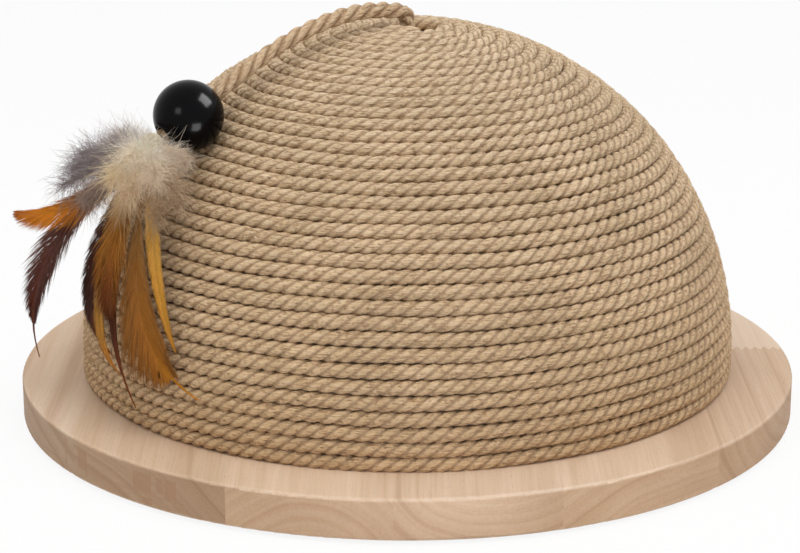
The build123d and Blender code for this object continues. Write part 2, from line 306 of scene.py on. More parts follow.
def winding_point(turn, waver=0.0):
    """A point of the winding in metres. Waver moves it a little along the ball's profile."""
    angle = radians(START_ANGLE) + tau * turn
    stray = sin(3 * angle + 0.35 * turn) + 0.7 * sin(7 * angle - 0.22 * turn)
    stray += 0.5 * sin(13 * angle + 0.9 * turn)
    arc = START_ARC - PITCH * turns_climbed(turn) + stray * waver / MM
    rho, height = profile_point(arc)
    return Vector((rho * cos(angle), rho * sin(angle), height)) * MM


def away_from_ball(point):
    """Straight away from the ball, or from its axis beside the skirt."""
    middle = BALL_CENTRE if point.z > BALL_CENTRE.z else Vector((0, 0, point.z))
    return (point - middle).normalized()


def winding_path(first, last, step, waver):
    """Points of the winding from one turn to another, about a step apart."""
    points = []
    turn = first
    while turn < last:
        points.append(winding_point(turn, waver))
        rho = profile_point(START_ARC - PITCH * turns_climbed(turn))[0] * MM
        turn += step / (tau * rho)
    points.append(winding_point(last, waver))
    return points


def dive_path(start, way, step):
    """The rope's end from the crown down through its slot in the core."""
    radius = DIVE_RADIUS * MM
    count = int(radius * pi / 2 / step)
    bend = [
        start + way * (radius * sin(k / count * pi / 2)) - UP * (radius * (1 - cos(k / count * pi / 2)))
        for k in range(1, count + 1)
    ]
    return bend + [bend[-1] - UP * (WINDING_THICK * MM * share) for share in (0.5, 1.0)]


def strand_outline(strand_radius, offset, per_strand=8):
    """The outline of three strands laid together: points, and how deep each is in a groove."""
    angles = np.arange(3 * per_strand) / (3 * per_strand) * tau
    from_crest = np.abs((angles + tau / 6) % (tau / 3) - tau / 6)
    reach = offset * np.cos(from_crest) + np.sqrt(strand_radius**2 - (offset * np.sin(from_crest)) ** 2)
    return angles, reach, from_crest / (tau / 6)


def laid_rope(name, points, outward, strand, start=0.0, rounded=0.0):
    """A rope of three strands along points, from a strand's radius, its offset from the rope's
    middle and the length in which it turns once. Its section turns with the lay, which no bevelled
    curve does evenly, so the skin is laid ring by ring. It keeps for each vertex its place
    along and across the rope for the fibres, and its depth in a groove. Its first end is
    rounded over the length given."""
    strand_radius, offset, lay = strand
    middle = np.array(points, float)
    way = np.gradient(middle, axis=0)
    lengths = np.concatenate([[0], np.cumsum(np.linalg.norm(np.diff(middle, axis=0), axis=1))]) + start
    way /= np.linalg.norm(way, axis=1)[:, None]
    facing = np.array(outward, float)
    facing -= (facing * way).sum(1)[:, None] * way
    facing /= np.linalg.norm(facing, axis=1)[:, None]
    across = np.cross(way, facing)
    angles, reach, depth = strand_outline(strand_radius, offset)
    swell = 1 + 0.028 * np.sin(lengths / lay * 1.7) + 0.022 * np.sin(lengths / lay * 0.53 + 1.0)
    uneven = 0.5 * np.sin(lengths / 0.097) + 0.35 * np.sin(lengths / 0.041 + 0.7)
    uneven += 0.2 * np.sin(lengths / 0.017)
    turned = angles[None, :] - (lengths * tau / lay + uneven)[:, None]
    if rounded:
        near = np.clip(1 - (lengths - start) / rounded, 0, 0.995)
        swell = swell * np.sqrt(1 - near**2)
    spans = reach[None, :] * swell[:, None]
    x = np.cos(turned) * spans
    y = np.sin(turned) * spans
    skin = middle[:, None, :] + x[..., None] * facing[:, None, :] + y[..., None] * across[:, None, :]
    rings, sides = x.shape
    index = np.arange(rings * sides).reshape(rings, sides)
    after = np.roll(index, -1, axis=1)
    faces = np.stack([index[:-1], after[:-1], after[1:], index[1:]], axis=-1).reshape(-1, 4).tolist()
    faces += [index[0][::-1].tolist(), index[-1].tolist()]
    piece = mesh_piece(name, skin.reshape(-1, 3).tolist(), faces)
    fibre = np.stack([np.repeat(lengths[:, None], sides, 1), x, y], axis=-1)
    add_attribute(piece, "fibre", "FLOAT_VECTOR", fibre)
    add_attribute(piece, "groove", "FLOAT", np.repeat(depth[None, :], rings, 0))
    return piece, lengths[-1]


def fine_hairs(name, paths, radii, tints=None):
    """Thin three-sided hairs that taper to a point, all in one mesh. Paths holds a row of
    points for each hair, and radii the millimetres for each point of a hair."""
    paths = np.asarray(paths, float)
    radii = np.broadcast_to(np.multiply(radii, MM), paths.shape[:2])
    count, steps, _ = paths.shape
    way = np.gradient(paths, axis=1)
    way /= np.linalg.norm(way, axis=2, keepdims=True) + 1e-12
    helper = np.where(np.abs(way[..., 2:3]) < 0.9, np.array([0.0, 0, 1]), np.array([1.0, 0, 0]))
    side = np.cross(way, helper)
    side /= np.linalg.norm(side, axis=2, keepdims=True)
    other = np.cross(way, side)
    turn = np.arange(3) * tau / 3
    ring = (
        paths[:, :-1, None, :]
        + radii[:, :-1, None, None]
        * (np.cos(turn)[:, None] * side[:, :-1, None, :] + np.sin(turn)[:, None] * other[:, :-1, None, :])
    )
    each = (steps - 1) * 3 + 1
    points = np.concatenate([ring.reshape(count, -1, 3), paths[:, -1:, :]], axis=1).reshape(-1, 3)
    faces = [[2, 1, 0]]
    for k in range(steps - 2):
        for s in range(3):
            a, b = k * 3 + s, k * 3 + (s + 1) % 3
            faces += [[a, b, b + 3], [a, b + 3, a + 3]]
    last = (steps - 2) * 3
    faces += [[last + s, last + (s + 1) % 3, each - 1] for s in range(3)]
    shifts = np.arange(count)[:, None, None] * each
    all_faces = (np.array(faces)[None] + shifts).reshape(-1, 3)
    piece = mesh_piece(name, points.tolist(), all_faces.tolist())
    if tints is not None:
        add_attribute(piece, "tint", "FLOAT_COLOR", np.repeat(np.asarray(tints), each, axis=0))
    return piece


# Materials

# Settings of a mix of two colours: inputs 0, 6 and 7 are its share and the colours
MIX = {"out": 2, "data_type": "RGBA"}
MULTIPLY = {"out": 2, "data_type": "RGBA", "blend_type": "MULTIPLY"}


def jute_material(name, light, middle, dark, groove_shade_strength):
    """Three-strand jute: dry, matt fibres that run along the rope, straw to brown, with painted
    shade darkening the gaps between the strands, and a browner tone low down. The fibres are
    drawn about 0.3 mm wide so that they show."""
    material, node = start_material(name)
    fibre = node("Attribute", out="Vector", attribute_name="fibre")
    groove = node("Attribute", out="Fac", attribute_name="groove")
    place = node("TexCoord", out="Object")
    along = node("Mapping", {"Vector": fibre, "Scale": (140, 1500, 1500)})
    streaks = node("TexNoise", {"Vector": along, "Scale": 1.0, "Detail": 3.0, "Roughness": 0.6})
    tufts = node("Mapping", {"Vector": fibre, "Scale": (420, 620, 620)})
    lumps = node("TexNoise", {"Vector": tufts, "Scale": 1.0, "Detail": 2.0})
    patches = node("TexNoise", {"Vector": place, "Scale": 34.0, "Detail": 2.0})
    base = node("ValToRGB", [streaks], stops=[(0.28, dark), (0.44, middle), (0.68, light)])
    tone = node("ValToRGB", [patches], stops=[(0.3, (0.84, 0.83, 0.80, 1)), (0.7, grey(1.0))])
    toned = node("Mix", {0: 1.0, 6: base, 7: tone}, **MULTIPLY)
    fleck = node("ValToRGB", [lumps], stops=[(0.3, (0.62, 0.56, 0.50, 1)), (0.46, grey(1.0))])
    flecked = node("Mix", {0: 0.85, 6: toned, 7: fleck}, **MULTIPLY)
    # Browner and darker towards the bottom of the winding, fading out at FADE_HEIGHT
    height = node("SeparateXYZ", [place], "Z")
    share = node("Math", [height, FADE_HEIGHT * MM], operation="DIVIDE", use_clamp=True)
    browner_low = node("ValToRGB", [share], stops=[(0.15, (0.93, 0.84, 0.72, 1)), (0.9, grey(1.0))])
    faded = node("Mix", {0: 1.0, 6: flecked, 7: browner_low}, **MULTIPLY)
    # Painted shade: the deeper a point lies in a groove between strands, the more its colour is pulled towards the
    # dark colour
    painted_groove_shade = node("ValToRGB", [groove], stops=[(0.45, grey(0.0)), (1.0, grey(groove_shade_strength))])
    colour = node("Mix", {0: painted_groove_shade, 6: faded, 7: dark}, **MIX)
    soft_lumps = node("Math", [lumps, 0.8], operation="MULTIPLY")
    relief = node("Math", [streaks, soft_lumps], operation="ADD")
    look = {"Base Color": colour, "Roughness": 0.92, "Specular IOR Level": 0.25}
    close_surface(node, look, relief, 1.0, 0.9 * MM)
    return material


def plain_fibre_material(name, colour):
    """Loose plant fibre: the same dry straw colour with a faint change from place to place."""
    material, node = start_material(name)
    noise = node("TexNoise", {"Vector": node("TexCoord", out="Object"), "Scale": 60.0})
    pale = [min(1.0, c * 1.25) for c in colour[:3]] + [1]
    tone = node("ValToRGB", [noise], stops=[(0.3, colour), (0.7, pale)])
    close_surface(node, {"Base Color": tone, "Roughness": 0.8})
    return material


def feather_material(name, roughness, through, painted_glow):
    """Feather keratin: each barb has its own tone from its tint, a satin surface on vanes and a
    dull one on down. Light comes through it. The last number is the strength of a painted glow in
    the barbs' own colour, which stands in for light bounced between the barbs more often than the
    render follows."""
    material, node = start_material(name)
    tint = node("Attribute", out="Color", attribute_name="tint")
    noise = node("TexNoise", {"Vector": node("TexCoord", out="Object"), "Scale": 900.0})
    tone = node("ValToRGB", [noise], stops=[(0.3, grey(0.93)), (0.7, grey(1.0))])
    colour = node("Mix", {0: 1.0, 6: tint, 7: tone}, **MULTIPLY)
    look = {"Base Color": colour, "Roughness": roughness, "Specular IOR Level": 0.2}
    # Painted glow: the barbs emit their own colour, standing in for light bounced between them
    look |= {"Emission Color": colour, "Emission Strength": painted_glow}
    front = node("BsdfPrincipled", look)
    back = node("BsdfTranslucent", {"Color": colour})
    both = node("MixShader", [through, front, back])
    node("OutputMaterial", {"Surface": both}, None)
    return material


def lacquer_material(name, colour):
    """Black nitrocellulose lacquer on a turned bead: deep black with clean highlights, and the
    slightest unevenness of a dipped coat. Its specular level is low so that it stays as black
    as in the photograph with white all round it."""
    material, node = start_material(name)
    wave = node("TexNoise", {"Vector": node("TexCoord", out="Object"), "Scale": 90.0, "Detail": 1.0})
    look = {"Base Color": colour, "Roughness": 0.17, "Specular IOR Level": 0.07}
    close_surface(node, look, wave, 0.05, 0.4 * MM)
    return material


def steel_material(name, colour):
    """Zinc-plated steel: bluish bright metal with the fine drawn marks of wire and sheet."""
    material, node = start_material(name)
    stretch = node("Mapping", {"Vector": node("TexCoord", out="Object"), "Scale": (2500, 2500, 300)})
    marks = node("TexNoise", {"Vector": stretch, "Scale": 1.0})
    rough = node("ValToRGB", [marks], stops=[(0.3, grey(0.28)), (0.7, grey(0.42))])
    look = {"Base Color": colour, "Metallic": 1.0, "Roughness": rough}
    close_surface(node, look, marks, 0.1, 0.1 * MM)
    return material


def foam_material(name, dark, light):
    """Closed-cell EVA foam: matt, with cells about 0.4 mm across."""
    material, node = start_material(name)
    cells = node("TexVoronoi", {"Vector": node("TexCoord", out="Object"), "Scale": 2500.0})
    colour = node("ValToRGB", [cells], stops=[(0.0, dark), (0.8, light)])
    close_surface(node, {"Base Color": colour, "Roughness": 0.95}, cells, 0.4, 0.3 * MM)
    return material


def moulded_material(name, dark, light):
    """Injection-moulded polypropylene with a spark-eroded grain of about 0.5 mm, matt."""
    material, node = start_material(name)
    place = node("TexCoord", out="Object")
    grain = node("TexNoise", {"Vector": place, "Scale": 2000.0, "Detail": 2.0})
    cloud = node("TexNoise", {"Vector": place, "Scale": 20.0})
    colour = node("ValToRGB", [cloud], stops=[(0.35, dark), (0.65, light)])
    close_surface(node, {"Base Color": colour, "Roughness": 0.6}, grain, 0.3, 0.2 * MM)
    return material


def in_range(node, value, middle, half, soft):
    """1 where a value lies within half of the middle, falling to 0 over the soft share."""
    offset = node("Math", [value, middle], operation="SUBTRACT")
    away = node("Math", [offset], operation="ABSOLUTE")
    inside = node("Math", [half, away], operation="SUBTRACT")
    return node("Math", [inside, soft], operation="DIVIDE", use_clamp=True)


def finger_marks(node, axes, colour, marks):
    """Ends of the glued finger joints that show on the front edge, browner than the wood."""
    front = node("Math", [axes["Y"], 0.0], operation="LESS_THAN")
    strength = node("Math", [front, 0.75], operation="MULTIPLY")
    for x, z, half_width, half_height in marks:
        wide = in_range(node, axes["X"], x * MM, half_width * MM, 0.4 * MM)
        high = in_range(node, axes["Z"], z * MM, half_height * MM, 0.6 * MM)
        mark = node("Math", [wide, high], operation="MULTIPLY")
        share = node("Math", [mark, strength], operation="MULTIPLY")
        colour = node("Mix", {0: share, 6: colour, 7: linear("#A27E62")}, **MIX)
    return colour


def finger_teeth(node, axes, colour, pale, upright):
    """Teeth of a finger joint across a stave's top, with paler wood beyond them."""
    tooth = node("Math", [axes["X"], 2.1 * MM], operation="PINGPONG")
    tall = node("Math", [tooth, 2.2], operation="MULTIPLY")
    line = node("Math", [tall, TEETH_ACROSS * MM], operation="ADD")
    over = node("Math", [axes["Y"], line], operation="SUBTRACT")
    beyond = node("Math", [over, 0.5 * MM], operation="DIVIDE", use_clamp=True)
    level = node("Math", [1.0, upright], operation="SUBTRACT", use_clamp=True)
    on_top = node("Math", [beyond, level], operation="MULTIPLY")
    share = node("Math", [on_top, 0.6], operation="MULTIPLY")
    return node("Mix", {0: share, 6: colour, 7: pale}, **MIX)


def wood_material(name, number, settings):
    """Rubberwood: pale, close-grained and sanded matt, with soft growth bands along each stave,
    arcs where its end shows on the front edge, and fine dark pores a few millimetres long."""
    material, node = start_material(name)
    place = node("TexCoord", out="Object")
    axes = node("SeparateXYZ", [place], None)
    across, height = RING_CENTRES[number]
    heart = (across * MM, 0, height * MM)
    from_heart = node("VectorMath", [place, heart], operation="SUBTRACT")
    slow = node("Mapping", {"Vector": place, "Scale": (14, 2.2, 14)})
    drift = node("TexNoise", {"Vector": slow, "Scale": 1.0, "Detail": 2.0}, "Color")
    push = node("VectorMath", [drift, (0.5, 0.5, 0.5)], operation="SUBTRACT")
    sway = (14 * MM, 0.0, 14 * MM)
    shifted = node("VectorMath", [push, sway, from_heart], operation="MULTIPLY_ADD")
    flat = node("VectorMath", [shifted, (1, 0, 1)], operation="MULTIPLY")
    radius = node("VectorMath", [flat], "Value", operation="LENGTH")
    years = node("Math", [radius, 210.0], operation="MULTIPLY")
    bands = {"W": years, "Scale": 1.0, "Detail": 3.0, "Roughness": 0.55}
    rings = node("TexNoise", bands, noise_dimensions="1D")
    stretch = node("Mapping", {"Vector": place, "Scale": (1100, 26, 1100)})
    fibre = node("TexNoise", {"Vector": stretch, "Scale": 1.0, "Detail": 2.0})
    cells = node("Mapping", {"Vector": place, "Scale": (900, 120, 900)})
    pores = node("TexVoronoi", {"Vector": cells, "Scale": 1.0})
    cloud = node("Mapping", {"Vector": place, "Scale": (30, 7, 30)})
    blotch = node("TexNoise", {"Vector": cloud, "Scale": 1.0, "Detail": 3.0})
    grown = [(0.32, settings.grain), (0.46, settings.warm), (0.62, settings.pale)]
    body = node("ValToRGB", [rings], stops=grown)
    softened = node("Mix", {0: 0.42, 6: settings.warm, 7: body}, **MIX)
    patchy = node("ValToRGB", [blotch], stops=[(0.3, (0.87, 0.84, 0.81, 1)), (0.65, grey(1.0))])
    toned = node("Mix", {0: 1.0, 6: softened, 7: patchy}, **MULTIPLY)
    fine = node("ValToRGB", [fibre], stops=[(0.3, (0.86, 0.83, 0.80, 1)), (0.6, grey(1.0))])
    grained = node("Mix", {0: 0.5, 6: toned, 7: fine}, **MULTIPLY)
    pore_share = node("ValToRGB", [pores], stops=[(0.07, grey(0.5)), (0.15, grey(0.0))])
    pored = node("Mix", {0: pore_share, 6: grained, 7: settings.pore}, **MIX)
    up = node("SeparateXYZ", [node("NewGeometry", out="Normal")], "Z")
    flatness = node("Math", [up], operation="ABSOLUTE")
    upright = node("Math", [1.0, flatness], operation="SUBTRACT", use_clamp=True)
    # Upright faces are browner for their end grain. The factor for each stave adds painted shade, which is darkest
    # on the left staves' edges
    edge = STAVE_EDGE_WOOD_AND_SHADE[number]
    side = (0.85 * edge, 0.77 * edge, 0.69 * edge, 1)
    edge_grain_and_shade = node("ValToRGB", [upright], stops=[(0.35, grey(1.0)), (0.9, side)])
    edged = node("Mix", {0: 1.0, 6: pored, 7: edge_grain_and_shade}, **MULTIPLY)
    colour = node("Mix", {0: 1.0, 6: edged, 7: STAVE_TONES[number]}, **MULTIPLY)
    if number in FINGER_MARKS:
        colour = finger_marks(node, axes, colour, FINGER_MARKS[number])
    if number == TEETH_STAVE:
        colour = finger_teeth(node, axes, colour, settings.pale, upright)
    look = {"Base Color": colour, "Roughness": 0.6, "Specular IOR Level": 0.2}
    close_surface(node, look, fibre, 0.25, 0.2 * MM)
    return material


# Across and height of the pith that each stave's rings run round, in millimetres
RING_CENTRES = [(-190, -40), (-150, -70), (-40, -26), (40, 60), (120, -90), (190, 30)]
STAVE_TONES = [
    (1.0, 0.99, 0.98, 1),
    (0.92, 0.89, 0.85, 1),
    (1.0, 0.98, 0.96, 1),
    (0.95, 0.93, 0.91, 1),
    (0.99, 0.97, 0.95, 1),
    (0.93, 0.90, 0.87, 1),
]
# Darkening of each stave's upright faces: partly darker wood, partly painted shade on the left staves as if the
# light fell from the right
STAVE_EDGE_WOOD_AND_SHADE = [0.72, 0.80, 0.97, 1.0, 1.0, 0.97]

# Finger joints: marks on the front edge by stave (across, height, half width and half height in
# millimetres), and the stave whose top shows a joint's teeth, with their place along Y
FINGER_MARKS = {
    0: [(-144.0, 11.0, 0.6, 6.0), (-152.0, 5.5, 4.5, 0.7)],
    1: [
        (-108.0, 12.0, 4.2, 4.5),
        (-100.4, 12.5, 1.6, 3.6),
        (-95.6, 12.0, 2.6, 4.4),
        (-106.0, 4.6, 2.4, 1.8),
        (-136.0, 11.5, 2.2, 4.6),
        (-134.0, 10.0, 0.7, 6.0),
        (-112.0, 7.2, 22.0, 0.5),
    ],
}
TEETH_STAVE = 5
TEETH_ACROSS = 10.6


# Feathers: root on the binding (sideways, above), belly and tip (out, sideways, up) and the
# vane's width in millimetres, the shares of the shaft where it starts and ends, how loose its
# barbs are, then its colours from root to tip
FEATHERS = {
    "feather_orange_side": (
        (-1.7, -0.9), (29.6, -18.4, -33.9), (47.6, -34.3, -30.1), 12.0, 0.04, 1.0, 0.08,
        ("#B98A5C", "#D98A34", "#E8901F", "#B8641A"),
    ),
    "feather_brown_hanging": (
        (-3.4, -0.6), (49.4, -40.0, -49.0), (37.5, -39.6, -96.6), 19.0, 0.10, 0.82, 0.10,
        ("#A08478", "#84564A", "#642F20", "#8A4A1E"),
    ),
    "feather_brown_inner": (
        (-3.3, -3.0), (18.7, -59.0, -72.7), (21.7, -1.2, -88.9), 9.5, 0.04, 0.90, 0.06,
        ("#8C6A58", "#5A2E1E", "#4A2214", "#A4581C"),
    ),
    "feather_gold_inner": (
        (-1.6, -3.0), (25.5, -31.4, -77.0), (21.8, 4.1, -95.0), 6.0, 0.04, 0.95, 0.05,
        ("#B08C64", "#C08A3E", "#D89A40", "#CC7A26"),
    ),
    "feather_dark_long": (
        (-0.1, -2.6), (27.8, -13.2, -66.0), (21.4, 17.8, -106.2), 4.0, 0.04, 0.85, 0.04,
        ("#A87A54", "#7C401A", "#602C12", "#9A4E18"),
    ),
    "feather_amber_short": (
        (0.4, -0.9), (28.0, 3.0, -45.0), (24.0, 4.0, -70.0), 15.0, 0.04, 1.0, 0.10,
        ("#D8B078", "#C88430", "#96521C", "#703814"),
    ),
    "feather_orange_large": (
        (1.6, -2.6), (32.3, 16.4, -76.0), (12.3, 55.2, -93.9), 29.0, 0.16, 0.82, 0.04,
        ("#C8A068", "#AC702C", "#B4701E", "#E29420"),
    ),
    "feather_gold_slim": (
        (3.2, -1.8), (21.0, 31.6, -45.7), (14.9, 42.4, -76.3), 5.0, 0.04, 1.0, 0.04,
        ("#F0D090", "#E8B050", "#E0A038", "#CC8A28"),
    ),
}

# Down plumes: tip (out, sideways, up), the length of its barbs, and its colours from root to tip
PLUMES = [
    ((38.1, -21.9, -16.0), 15.0, ("#D8CEC8", "#A09492", "#8E8280")),
    ((31.0, -22.0, -8.0), 15.0, ("#DCD2CC", "#A89C9A", "#94888A")),
    ((24.5, -24.3, -3.0), 14.0, ("#E0D8D2", "#A89C9A", "#9A8E8E")),
    ((9.0, -20.0, 3.0), 12.0, ("#EEE6DC", "#CCC0B8", "#B4A8A4")),
    ((35.0, -6.2, -21.0), 14.0, ("#E4D8CA", "#B8A498", "#9A8272")),
    ((16.0, 10.0, 0.0), 14.0, ("#FBF6EC", "#F4EADA", "#E8D8BE")),
    ((24.0, 4.0, -10.0), 15.0, ("#FBF5EA", "#F4E6CC", "#EAD2A4")),
    ((12.0, 24.0, -8.0), 14.0, ("#FAF5EC", "#F0E4D2", "#DCC8AC")),
    ((25.7, 19.4, -17.0), 14.0, ("#F8F1E6", "#EAD8BC", "#CDB08A")),
    ((4.0, 34.0, -18.0), 13.0, ("#F0E6D8", "#CDB496", "#B0967A")),
    ((14.0, 30.0, -27.0), 13.0, ("#F0E4D2", "#CCB08C", "#A88C6E")),
    ((-6.0, 21.0, -3.0), 10.0, ("#F4EEE4", "#E4D6C4", "#CDB89E")),
    ((22.0, 6.0, -27.0), 13.0, ("#F6ECDC", "#DCC094", "#B8905C")),
    ((30.0, -12.0, -25.0), 13.0, ("#DCCAB8", "#9C806A", "#7C5E48")),
]

# Barbs of down in each plume, and how far they keep from the bead's middle, in millimetres
PLUME_BARBS = 760
BEAD_CLEAR = 15.7

# Radii along a loose fibre, a vane's barb and a barb of down, in millimetres
FIBRE_RADII = (0.06, 0.055, 0.045, 0.01)
BARB_RADII = (0.16, 0.15, 0.10, 0.02)
DOWN_RADII = (0.078, 0.07, 0.05, 0.01)


def feather_curve(root, belly, tip, share):
    """A point of the feather's shaft and its direction."""
    place = root * (1 - share) ** 2 + belly * (2 * share * (1 - share)) + tip * share**2
    way = (belly - root) * (1 - share) + (tip - belly) * share
    return place, way.normalized()


def mixed_colour(hexes, share):
    """The linear colour at a share of the way along a row of hex colours."""
    place = min(0.9999, max(0.0, share)) * (len(hexes) - 1)
    first, second = linear(hexes[int(place)]), linear(hexes[int(place) + 1])
    part = place - int(place)
    return np.array([a + (b - a) * part for a, b in zip(first, second)])


def barbs(rng, root, belly, tip, width, first, last, loose, hexes, spacing=0.22):
    """The barbs of one vane, which widens from its first share of the shaft and closes at its
    last: points and tints."""
    spine = [feather_curve(root, belly, tip, k / 20)[0] for k in range(21)]
    length = sum((after - before).length for before, after in zip(spine, spine[1:]))
    count = int(length / (spacing * MM))
    paths, tints = [], []
    for k in range(count):
        share = 0.10 + 0.90 * (k + rng.random()) / count
        place, way = feather_curve(root, belly, tip, share)
        face = (place - BALL_CENTRE).normalized() + Vector((0, -0.5, 0))
        face = (face - way * face.dot(way)).normalized()
        spread = way.cross(face)
        fullness = min(1.0, max(0.0, (share - first) / 0.26)) * max(0.0, 1 - (share / last) ** 1.8)
        lean = radians(33 - 17 * share)
        for hand in (-1, 1):
            wild = loose * (1.3 - share) * rng.normal()
            turn = lean + wild
            half_width = width / 2 * fullness * (1 + 0.07 * rng.normal()) + 1.8 * (1.17 - share)
            reach = half_width * MM / sin(lean)
            aim = way * cos(turn) + spread * (hand * sin(turn)) + face * (0.10 * rng.normal() * loose * 4)
            bend = way * (reach * 0.22) - UP * (reach * 0.08)
            end = place + aim * reach + bend
            half = place + aim * (reach * 0.5) + bend * 0.22
            most = place + aim * (reach * 0.8) + bend * 0.6
            paths.append([place, half, most, end])
            tints.append(mixed_colour(hexes, share) * (0.78 + 0.34 * rng.random()))
    return paths, tints


def fine_tints(tints):
    """Tints kept within the range of a colour, with full alpha."""
    kept = np.clip(np.asarray(tints, float), 0, 1)
    kept[:, 3] = 1.0
    return kept


# Operators, one for each piece or group of like pieces


class SCRATCH_OT_stage(bpy.types.Operator):
    """Make the camera, the lights and the floor"""

    bl_idname = "scratch.stage"
    bl_label = "Stage"

    def execute(self, context):
        settings = context.scene.scratch_stage
        self.camera(context)
        self.soft_light("softbox_front", (0.45, -0.75, 1.45), 0.8, settings.key)
        self.soft_light("softbox_top", (-0.05, -0.35, 1.7), 1.6, settings.top)
        self.soft_light("fill_front_left", (-0.7, -1.5, 1.1), 0.7, settings.fill)
        for name, way, distance, size, watts in CATCHLIGHTS:
            place = BEAD_CENTRE + Vector(way) * distance
            lamp = self.soft_light(name, tuple(place), size, watts, BEAD_CENTRE)
            lamp.visible_diffuse = False
            lamp.visible_glossy = True
        self.floor()
        self.sky(context, settings.sky)
        context.scene.view_settings.view_transform = "Standard"
        return {"FINISHED"}

    def camera(self, context):
        """The photograph's own place, tilt, lens and framing."""
        data = bpy.data.cameras.new("camera")
        data.sensor_width = 36.0
        data.lens = PHOTO_FOCAL / PHOTO_WIDTH * data.sensor_width
        data.shift_x = (PHOTO_WIDTH / 2 - AXIS_X) / PHOTO_WIDTH
        data.shift_y = (AXIS_Y - PHOTO_HEIGHT / 2) / PHOTO_WIDTH
        camera = bpy.data.objects.new("camera", data)
        context.scene.collection.objects.link(camera)
        camera.location = CAMERA_PLACE
        camera.rotation_euler = (radians(90 - CAMERA_TILT), 0, 0)
        context.scene.camera = camera

    def soft_light(self, name, place, size, watts, target=Vector((0, 0, 0.08))):
        """A square softbox that faces the ball."""
        data = bpy.data.lights.new(name, "AREA")
        data.size = size
        data.energy = watts
        lamp = bpy.data.objects.new(name, data)
        bpy.context.scene.collection.objects.link(lamp)
        lamp.location = place
        lamp.rotation_euler = (target - Vector(place)).to_track_quat("-Z", "Y").to_euler()
        lamp.visible_camera = False
        lamp.visible_glossy = False
        return lamp

    def floor(self):
        """A plain white floor that keeps the object's shadow."""
        deselect()
        bpy.ops.mesh.primitive_plane_add(size=24, location=(0, 0, 0))
        floor = bpy.context.active_object
        floor.name = "floor"
        material, node = start_material("white_paper_floor")
        share = node("Math", [self.seen(node), FLOOR_WHITE], operation="MULTIPLY")
        paper = node("BsdfDiffuse", {"Color": grey(0.86)})
        glow = node("Emission", {"Color": grey(1.0), "Strength": 1.0})
        node("OutputMaterial", {"Surface": node("MixShader", [share, paper, glow])}, None)
        floor.data.materials.append(material)

    def seen(self, node):
        """1 where the camera sees the backdrop, straight or in a shiny or clear surface."""
        rays = node("LightPath", out=None)
        glossy, clear = rays["Is Glossy Ray"], rays["Is Transmission Ray"]
        shiny = node("Math", [glossy, clear], operation="MAXIMUM")
        return node("Math", [rays["Is Camera Ray"], shiny], operation="MAXIMUM")

    def sky(self, context, strength):
        """Even light from all round, and white where the camera sees it."""
        world = bpy.data.worlds.new("studio")
        context.scene.world = world
        world.use_nodes = True
        node = node_adder(world.node_tree)
        level = node("Math", [self.seen(node), strength], operation="MAXIMUM")
        glow = node("Background", {"Color": grey(1.0), "Strength": level})
        node("OutputWorld", {"Surface": glow}, None)


class SCRATCH_OT_winding(bpy.types.Operator):
    """Wind the jute rope over the half ball, in four lengths"""

    bl_idname = "scratch.winding"
    bl_label = "Rope Winding"

    def execute(self, context):
        settings = context.scene.scratch_rope
        # The last number is the strength of the painted shade in the grooves
        jute = jute_material("jute_rope", settings.light, settings.middle, settings.dark, 0.72)
        strand = (settings.strand_radius, settings.strand_offset, settings.lay_length)
        spans = [
            ("rope_low", 0.0, 7.0, "rope_winding_lower"),
            ("rope_waist", 7.0, LOWER_TURNS - JOINT_GAP, "rope_winding_lower"),
            ("rope_shoulder", LOWER_TURNS + JOINT_GAP, 22.0, "rope_winding_upper"),
            ("rope_crown", 22.0, TOTAL_TURNS, "rope_winding_upper"),
        ]
        start = 0.0
        for name, first, last, node in spans:
            points = winding_path(first, last, RING_STEP * MM, settings.waver)
            if last == TOTAL_TURNS:
                way = (points[-1] - points[-2]).normalized()
                way.z = 0
                points += dive_path(points[-1], way.normalized(), RING_STEP * MM)
            outward = [away_from_ball(p) for p in points]
            rope, start = laid_rope(name, points, outward, strand, start)
            settle(rope, jute, "base", "winding_jute", node)
        return {"FINISHED"}


class SCRATCH_OT_loose_fibres(bpy.types.Operator):
    """Let loose fibres stand out of the winding"""

    bl_idname = "scratch.loose_fibres"
    bl_label = "Loose Fibres"

    def execute(self, context):
        settings = context.scene.scratch_rope
        rng = np.random.default_rng(7)
        paths = []
        for _ in range(settings.fibres):
            turn = LAST_WHOLE_TURN * (1 - sqrt(rng.random()) * 0.999)
            point = winding_point(turn)
            ahead = (winding_point(turn + 0.0005) - point).normalized()
            away = away_from_ball(point)
            over = ahead.cross(away)
            start = point + away * (2.6 * MM) + over * (1.4 * MM * rng.normal())
            length = (2.0 + 4.0 * rng.random() ** 2) * MM
            lean = ahead * rng.normal() + over * rng.normal() * 0.6
            first = start + (away * 0.25 + lean * 0.5) * (length * 0.4)
            second = first + (away * 0.28 + lean * 0.4) * (length * 0.35)
            end = second + (lean * 0.5 - UP * 0.3 + away * 0.05) * (length * 0.3)
            paths.append([start, first, second, end])
        hairs = fine_hairs("rope_loose_fibres", paths, FIBRE_RADII)
        straw = plain_fibre_material("loose_jute_fibre", linear("#C9A878"))
        settle(hairs, straw, "base", "winding_jute")
        return {"FINISHED"}


